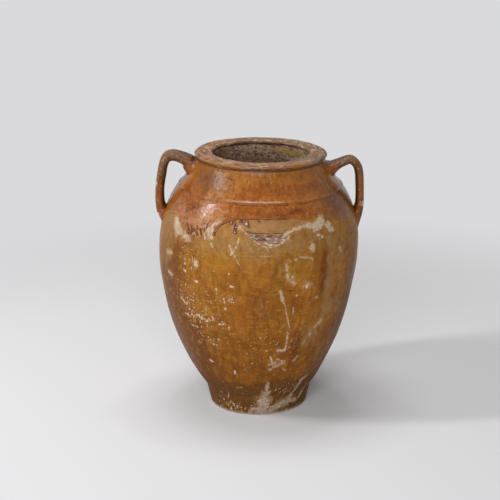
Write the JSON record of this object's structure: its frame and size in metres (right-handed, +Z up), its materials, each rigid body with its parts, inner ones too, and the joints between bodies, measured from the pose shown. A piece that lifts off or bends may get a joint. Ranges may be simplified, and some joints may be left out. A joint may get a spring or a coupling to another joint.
{
  "type": "two-handled storage jar",
  "caption": "Tall swelling earthenware storage jar with a flat overhanging rim, a raised shoulder line, a small flat foot and upright strap handles from neck to shoulder.",
  "frame": {"origin": "centre of the foot, on the surface that the jar stands on", "axes": "+Z up along the turning axis, +X to the viewer's right through the right handle, -Y towards the viewer and the chipped front"},
  "size_m": [0.4907, 0.4698, 0.6173],
  "materials": {
    "bare_clay": "unglazed fired earthenware, rough, with lime bloom",
    "honey_glaze": "thin honey-coloured lead-type glaze over red clay, worn and flaked",
    "red_glaze": "second, redder and glossier glaze coat with runs along its lower edge",
    "worn_clay": "bare clay rim, weathered grey-brown",
    "handle_glaze": "brown glaze worn to grey clay on top"
  },
  "bodies": {
    "root": {"base_slab": "bare_clay", "foot_ring": "honey_glaze", "lower_ring": "honey_glaze", "belly_ring": "honey_glaze", "upper_ring": "honey_glaze", "shoulder_ring": "red_glaze", "neck_ring": "red_glaze", "rim": "worn_clay", "left_handle": "handle_glaze", "right_handle": "handle_glaze"}
  },
  "joints": []
}
